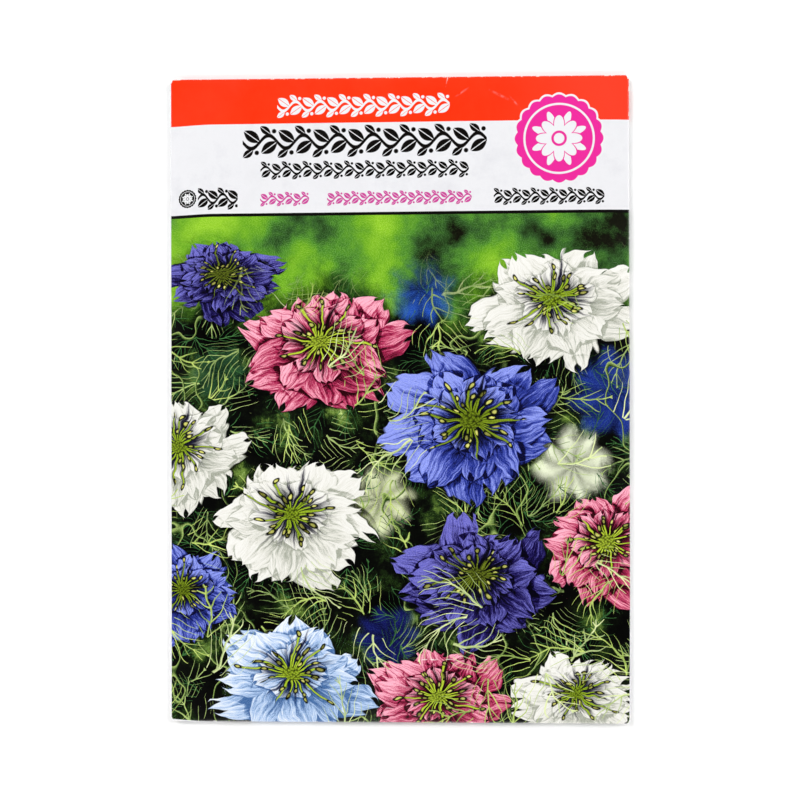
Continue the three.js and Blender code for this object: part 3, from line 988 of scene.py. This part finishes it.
def printedSheet(add, blank):
    u, v, _ = add("SeparateXYZ", blank, out=None)
    # the left end of the bands hangs a little, where the sheet was pulled round the fold
    droop = add("MapRange SMOOTHSTEP", u, *heading["droop"])
    askew = add("Math MULTIPLY_ADD", u, heading["askew"], add("Math", v, droop))
    place = add("CombineXYZ", u, askew, 0.0)
    _, row, _ = add("SeparateXYZ", place, out=None)
    vine = leafyVine()

    tint = add("TexNoise 2D", place, 0.09, 7.0, 0.72)
    paper = add("ValToRGB", tint, stops=heading["paper"])
    red = add("ValToRGB", tint, stops=heading["red"])
    # painted sheen: the red is mixed towards a lighter red to the right, standing in for the gloss's soft
    # reflection of the light
    dry = add("MapRange SMOOTHSTEP", u, *heading["sheenFrom"])
    red = add("Mix RGBA", dry, red, heading["sheenRed"])
    colour = add("Mix RGBA", add("MapRange", row, *heading["redAbove"]), paper, red)
    colour = addVines(add, place, colour, vine, heading["vines"])
    colour = flowerMedallion(add, place, colour, "medallion", "pink")
    colour = flowerMedallion(add, place, colour, "daisy", "black")
    garden = gardenPicture(add, place)
    for edge, ink in ((heading["lineBelow"], heading["lineInk"]), (heading["pictureBelow"], garden)):
        colour = add("Mix RGBA", add("MapRange", row, *edge, 1.0, 0.0), colour, ink)

    # bare margins where the print stops short of the folds
    margin = heading["margins"]
    right = add("Math", u, add("MapRange", v, *margin["rightLean"]))
    inPrint = add("MapRange", u, *margin["left"])
    for gone, bound in ((right, margin["right"]), (v, margin["top"])):
        inPrint = add("Math MULTIPLY", inPrint, add("MapRange", gone, *bound, 1.0, 0.0))
    low = add("Math", v, add("MapRange", u, *margin["bottomLean"]))
    inPrint = add("Math MULTIPLY", inPrint, add("MapRange", low, *margin["bottom"]))
    return add("Mix RGBA", inPrint, backPrint(add, blank, paper, vine), colour)


label = {  # on the back: a ruled label with a double keyline, for the gardener's own notes
    "middle": (-82.1, -1.5, 0),
    "half": (30.5, 33.5, 0),  # where its rounded frame starts to be measured from
    "keylines": [(4.0, 0.18), (3.1, 0.08)],  # out from there, half thickness
    "rules": (4.0, 3.5),  # the first rule, half the distance between two
    "ruleEdge": (0.06, 0.11),
    "ruled": [("x", 25.9, 26.0), ("y", 5.0, 5.1), ("y", -25.0, -25.1)],
}


def backPrint(add, blank, colour, vine):
    local = add("VectorMath SUBTRACT", blank, label["middle"])
    x, y, _ = add("SeparateXYZ", add("VectorMath ABSOLUTE", local), out=None)
    past = add("VectorMath SUBTRACT", add("CombineXYZ", x, y, 0.0), label["half"])
    past = add("VectorMath MAXIMUM", past, (0, 0, 0))
    frameGap = add("VectorMath LENGTH", past)
    for at, half in label["keylines"]:
        line = add("Math ABSOLUTE", add("Math SUBTRACT", frameGap, at))
        inked = add("MapRange", line, half - 0.03, half + 0.03, 1.0, 0.0)
        colour = add("Mix RGBA", inked, colour, heading["green"])
    _, v, _ = add("SeparateXYZ", blank, out=None)
    first, halfStep = label["rules"]
    ruled = add("Math PINGPONG", add("Math SUBTRACT", v, first), halfStep)
    ruled = add("MapRange", ruled, *label["ruleEdge"], 1.0, 0.0)
    for axis, end, past in label["ruled"]:
        bound = add("MapRange", x if axis == "x" else v, end, past, 1.0, 0.0)
        ruled = add("Math MULTIPLY", ruled, bound)
    colour = add("Mix RGBA", ruled, colour, heading["lilac"])
    colour = addVines(add, blank, colour, vine, heading["backVines"])
    return flowerMedallion(add, blank, colour, "backMedallion", "green")


# the materials
def startMaterial(name):
    material = bpy.data.materials.new(name)
    material.use_nodes = True
    material.node_tree.nodes.clear()
    add = partial(addNode, material.node_tree)
    add("OutputMaterial", add("BsdfPrincipled"), out=None)
    return material, add


def setLooks(material, looks):
    inputs = material.node_tree.nodes["Principled BSDF"].inputs
    feed(material.node_tree, [inputs[name] for name in looks], looks.values())
    return material


glossPaper = {
    "roughness": (0.17, 0.25),
    # wavelength and height in mm: the sheet's waves, and a tooth drawn coarser than real so that it shows
    "unevenness": [(9.0, 0.05), (0.55, 0.004)],
    # a nick, four creases and a scratch:
    # middle x, y, direction in degrees, half length, half breadth, wear, depth
    "creases": [
        (8.8, 57.2, 78, 1.8, 0.13, 0.6, 0.03),
        (11.3, 54.6, 35, 1.8, 0.24, 0.14, 0.05),
        (18.2, 54.0, -28, 2.8, 0.32, 0.14, 0.05),
        (20.9, 52.6, -50, 1.9, 0.24, 0.14, 0.05),
        (24.0, -51.0, -20, 4.2, 0.35, 0.4, 0.06),
        (6.4, -46.1, 0.8, 4.2, 0.15, 1.6, 0.03),
    ],
    "fibre": "#f3efe9",
    "fibreRoughness": 0.75,
    "rubFrom": (0.08, 0.02),  # past the side folds' start and the end folds'
    "rubBetween": (0.0, 0.25, 0.55, 0.75),  # from there: it starts, is full, wanes, ends
    "rubbed": (0.57, 0.62),  # the share of grain that is rubbed off
    "cornerRub": (95.6, 98.0, 0.0, 0.16),  # more near the corners, by x + y
    "lowRub": (50.0, 57.0, -0.05, 0.0),  # less below the top
}


def glossPrintedPaper():
    # coated art paper, offset printed and varnished: full inks, a soft shine, white fibres at rubbed folds
    material, add = startMaterial("gloss coated paper, offset printed")
    blank = add("UVMap", uv_map="blank")
    colour = printedSheet(add, blank)
    height = 0.0
    for size, depth in glossPaper["unevenness"]:
        height = add("Math MULTIPLY_ADD", add("TexNoise 2D", blank, 1 / size, 3.0, 0.55), depth, height)
    crease = None
    for x, y, turn, length, breadth, wear, depth in glossPaper["creases"]:
        stretch = ((x, y, 0), (0, 0, math.radians(turn)), (length, breadth, 1))
        local = add("Mapping TEXTURE", blank, *stretch)
        mark = add("MapRange", add("VectorMath LENGTH", local), 0.0, 1.0, 1.0, 0.0)
        height = add("Math MULTIPLY_ADD", mark, -depth, height)
        mark = add("Math MULTIPLY", mark, wear)
        crease = mark if crease is None else add("Math MAXIMUM", crease, mark)

    grain = add("TexNoise 2D", blank, 0.9, 4.0, 0.7)
    cracked = add("Math MULTIPLY", crease, add("MapRange", grain, 0.44, 0.6))
    x, y, _ = add("SeparateXYZ", add("VectorMath ABSOLUTE", blank), out=None)
    sideRub, endRub = glossPaper["rubFrom"]
    fromSide = add("Math SUBTRACT", x, sheet["sideLine"] + sideRub)
    fromEnd = add("Math SUBTRACT", y, sheet["endLine"] + endRub)
    onFold = add("Math MAXIMUM", fromSide, fromEnd)
    nearCorner = add("MapRange", add("Math", x, y), *glossPaper["cornerRub"])
    onTop = add("MapRange", add("SeparateXYZ", blank, out=None)[1], *glossPaper["lowRub"])
    rubbed = add("Math", add("Math", grain, nearCorner), onTop)
    rubbed = add("MapRange", rubbed, *glossPaper["rubbed"])
    starts, full, wanes, ends = glossPaper["rubBetween"]
    for bound in ((starts, full), (wanes, ends, 1.0, 0.0)):
        rubbed = add("Math MULTIPLY", rubbed, add("MapRange", onFold, *bound))
    worn = add("Math MAXIMUM", rubbed, cracked)
    colour = add("Mix RGBA", worn, colour, glossPaper["fibre"])

    smear = add("TexNoise 2D", blank, 0.07, 3.0, 0.6)
    rough = add("MapRange", smear, 0.3, 0.7, *glossPaper["roughness"])
    rough = add("Mix FLOAT", worn, rough, glossPaper["fibreRoughness"])
    bump = add("Bump", 1.0, mm, None, height)
    return setLooks(material, {"Base Color": colour, "Roughness": rough, "IOR": 1.5, "Normal": bump})


def bareSheetPaper(name, paleTone, darkTone, fibreLength):
    # the sheet's uncoated side: matt and slightly grey, with short fibres lying every way
    material, add = startMaterial(name)
    place = add("VectorMath SCALE", add("TexCoord", out=None)["Object"], 1 / mm)
    cloud = add("TexNoise", place, 0.5, 4.0, 0.6)
    fibres = add("TexNoise", place, 1 / fibreLength, 5.0, 0.75, 2.0, 1.4)
    mixed = add("Mix FLOAT", 0.6, cloud, fibres)
    colour = add("ValToRGB", mixed, stops=[(0.35, darkTone), (0.65, paleTone)])
    bump = add("Bump", 0.6, 0.02 * mm, None, fibres)
    return setLooks(material, {"Base Color": colour, "Roughness": 0.88, "Normal": bump})


starchGlue = {
    "tones": [(0.3, "#c9ad72"), (0.5, "#e4d3a4"), (0.7, "#f1e7c8")],
    "bubbleTone": "#fbf6e6",
    "bubbles": 1.6,  # to a millimetre
    "bubbleEdge": (0.05, 0.16),
    "roughness": (0.22, 0.5),
    "depth": 0.05 * mm,
    "scatter": (0.4 * mm, 0.3 * mm, 0.15 * mm),
}


def driedStarchGlue():
    # dextrin glue, rolled on and pressed flat: a clear yellowish film with bubbles and dull patches
    material, add = startMaterial("dried dextrin glue")
    place = add("VectorMath SCALE", add("TexCoord", out=None)["Object"], 1 / mm)
    flow = add("TexNoise", place, 0.35, 4.0, 0.6, 2.0, 0.8)
    bubbles = add("TexVoronoi", place, starchGlue["bubbles"])
    colour = add("ValToRGB", flow, stops=starchGlue["tones"])
    bubble = add("MapRange", bubbles, *starchGlue["bubbleEdge"], 1.0, 0.0)
    colour = add("Mix RGBA", add("Math MULTIPLY", bubble, 0.5), colour, starchGlue["bubbleTone"])
    looks = {
        "Base Color": colour,
        "Roughness": add("MapRange", flow, 0.3, 0.7, *starchGlue["roughness"]),
        "IOR": 1.47,
        "Subsurface Weight": 0.3,
        "Subsurface Radius": starchGlue["scatter"],
        "Normal": add("Bump", 0.5, starchGlue["depth"], None, add("Math", flow, bubble)),
    }
    return setLooks(material, looks)


seedCoat = {
    "tones": [(0.35, "#100c0a"), (0.6, "#1e1712"), (0.75, "#32271d")],
    "ridgeTone": "#4a3b2c",
    "meshes": 3.4,  # of the net, to a millimetre
    "ridgeEdge": (0.02, 0.22),
    "roughness": (0.55, 0.8),
    "depth": 0.06 * mm,
}


def wrinkledSeedCoat():
    # a dry seed coat: near black, netted with fine ridges that dust and wear turn brown
    material, add = startMaterial("dry wrinkled seed coat")
    place = add("VectorMath SCALE", add("TexCoord", out=None)["Object"], 1 / mm)
    net = add("TexVoronoi", place, seedCoat["meshes"], feature="DISTANCE_TO_EDGE")
    ridge = add("MapRange", net, *seedCoat["ridgeEdge"], 1.0, 0.0)
    dust = add("TexNoise", place, 1.1, 4.0, 0.65)
    colour = add("ValToRGB", dust, stops=seedCoat["tones"])
    colour = add("Mix RGBA", add("Math MULTIPLY", ridge, 0.55), colour, seedCoat["ridgeTone"])
    looks = {
        "Base Color": colour,
        "Roughness": add("MapRange", dust, 0.3, 0.7, *seedCoat["roughness"]),
        "IOR": 1.45,
        "Normal": add("Bump", 0.8, seedCoat["depth"], None, ridge),
    }
    return setLooks(material, looks)


# glue lines and seeds
glueFilm = {
    "step": 0.9,
    "fewest": 3,
    "waver": 0.55,  # how far its pressed edges draw in
    "waverLength": 4.0,
}


def finishPiece(bm, name, node, material):
    bmesh.ops.recalc_face_normals(bm, faces=bm.faces)
    bmesh.ops.scale(bm, vec=(mm, mm, mm), verts=bm.verts)
    piece = newObject(name, bm)
    piece.data.shade_smooth()
    piece.data.set_sharp_from_angle(angle=sharpEdge)
    piece.data.materials.append(material)
    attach(piece, "root")
    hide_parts(node)


def makeGlueLine(node, material):
    low, high = (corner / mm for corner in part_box(node))
    size, middle = high - low, (high + low) / 2
    across, up = (max(glueFilm["fewest"], round(length / glueFilm["step"])) for length in (size.x, size.y))
    bm = startGrid(across, up, (size.x, size.y), (middle.x, middle.y, low.z))
    for vertex in bm.verts:
        if vertex.is_boundary:  # pressed glue spreads unevenly
            at = Vector((vertex.co.x, vertex.co.y, middle.z * 9)) / glueFilm["waverLength"]
            inward = Vector((middle.x - vertex.co.x, middle.y - vertex.co.y, 0))
            reach = glueFilm["waver"] * (0.5 + 0.5 * noise.noise(at))
            vertex.co.x += math.copysign(min(reach, abs(inward.x)), inward.x)
            vertex.co.y += math.copysign(min(reach, abs(inward.y)), inward.y)
    grown = bmesh.ops.extrude_face_region(bm, geom=list(bm.faces))["geom"]
    lifted = [part for part in grown if isinstance(part, bmesh.types.BMVert)]
    bmesh.ops.translate(bm, vec=(0, 0, size.z), verts=lifted)
    finishPiece(bm, node + "_film", node, material)


def makeSeeds(material):
    bm = bmesh.new()
    size = Vector((seed["length"], seed["width"], seed["thickness"]))
    wrinkle, wrinkles = seed["wrinkle"]
    places = seedPlaces()
    for number, (x, y, over, turn) in enumerate(places):
        verts = bmesh.ops.create_icosphere(bm, subdivisions=3, radius=0.5)["verts"]
        for vertex in verts:  # three blunt ridges, a pointed root end
            swell = 1 + seed["ridge"] * math.cos(3 * math.atan2(vertex.co.z, vertex.co.y))
            taper = 1 - seed["taper"] * smoothStep(vertex.co.x, 0.0, 0.5)
            vertex.co.y *= swell * taper
            vertex.co.z *= swell * taper
        spans = [[vertex.co[k] for vertex in verts] for k in range(3)]
        for vertex in verts:
            vertex.co = [vertex.co[k] * size[k] / (max(spans[k]) - min(spans[k])) for k in range(3)]
            ridges = noise.noise(vertex.co * wrinkles + Vector((number, 0, 0)))
            vertex.co *= 1 - wrinkle * (0.5 + 0.5 * ridges)
        stand = Matrix.Translation((x, y, seed["floor"] + seed["thickness"] / 2))
        stand = stand @ Matrix.Rotation(turn, 4, "Z") @ Matrix.Rotation(over, 4, "X")
        bmesh.ops.transform(bm, matrix=stand, verts=verts)
    finishPiece(bm, "loose_seeds", "seeds", material)
    print("seeds laid:", len(places))


# the stage
studio = {
    "floor": 1.6,  # metres, as are the distances and sizes below
    "floorDrop": 0.05 * mm,
    "floorTone": "#ffffff",
    "distance": 0.4,
    "lens": 100.9,
    "tilt": (0.434, 3.255, -0.109),  # degrees about X, Y and Z
    "aim": (0.17 * mm, -0.08 * mm, 0),
    "walls": 0.55,
    "ceiling": 0.03,  # kept dark, so that the flat gloss paper mirrors no glare
    "ceilingFrom": (0.62, 0.78),
    # lights: azimuth from +Y, elevation, distance, side, watts
    "lights": [(-50, 31, 1.4, 0.9, 15.0), (65, 30, 1.4, 0.9, 13.0), (185, 30, 1.4, 0.9, 10.2)],
}


def makeStage():
    side = studio["floor"]
    floor = newObject("floor", startGrid(1, 1, (side, side), (0, 0, -studio["floorDrop"])))
    material, _ = startMaterial("matt white studio board")
    # painted board: a full matt white without any shine
    looks = {"Base Color": studio["floorTone"], "Roughness": 1.0, "Specular IOR Level": 0.0}
    floor.data.materials.append(setLooks(material, looks))


def makeCamera():
    camera = newObject("camera", bpy.data.cameras.new("camera"))
    camera.data.lens = studio["lens"]
    camera.data.clip_start = 0.01
    place = Matrix.Translation(studio["aim"])
    tiltX, tiltY, tiltZ = studio["tilt"]
    for axis, turn in (("Y", tiltY), ("X", tiltX), ("Z", tiltZ)):
        place = place @ Matrix.Rotation(math.radians(turn), 4, axis)
    camera.matrix_world = place @ Matrix.Translation((0, 0, studio["distance"]))
    bpy.context.scene.camera = camera


def makeLights():
    for azimuth, elevation, distance, side, watts in studio["lights"]:
        data = bpy.data.lights.new("softbox", "AREA")
        data.shape = "SQUARE"
        data.size = side
        data.energy = watts
        lamp = newObject("softbox", data)
        around, up = math.radians(azimuth), math.radians(elevation)
        flat = distance * math.cos(up)
        lamp.location = (flat * math.sin(around), flat * math.cos(around), distance * math.sin(up))
        lamp.rotation_euler = lamp.location.to_track_quat("Z", "Y").to_euler()
    world = bpy.data.worlds.new("studio")
    world.use_nodes = True
    add = partial(addNode, world.node_tree)
    _, _, up = add("SeparateXYZ", add("TexCoord", out=None)["Generated"], out=None)
    glow = add("MapRange", up, *studio["ceilingFrom"], studio["walls"], studio["ceiling"])
    inputs = world.node_tree.nodes["Background"].inputs
    feed(world.node_tree, (inputs["Color"], inputs["Strength"]), ((1, 1, 1, 1), glow))
    bpy.context.scene.world = world
    bpy.context.scene.view_settings.view_transform = "Standard"


makeCamera()
makeLights()
makeStage()
print("stage, camera and lights set")

makeSheet(
    [
        glossPrintedPaper(),
        bareSheetPaper("uncoated side of the sheet", "#f4f3ef", "#e4e2dd", 0.5),
        bareSheetPaper("cut edge of the sheet", "#f6f4ef", "#d9d6cf", 0.2),
    ]
)
glueMaterial = driedStarchGlue()
for node in ("side_seam_glue", "bottom_flap_glue", "closing_flap_glue"):
    makeGlueLine(node, glueMaterial)
print("glue lines laid")
makeSeeds(wrinkledSeedCoat())
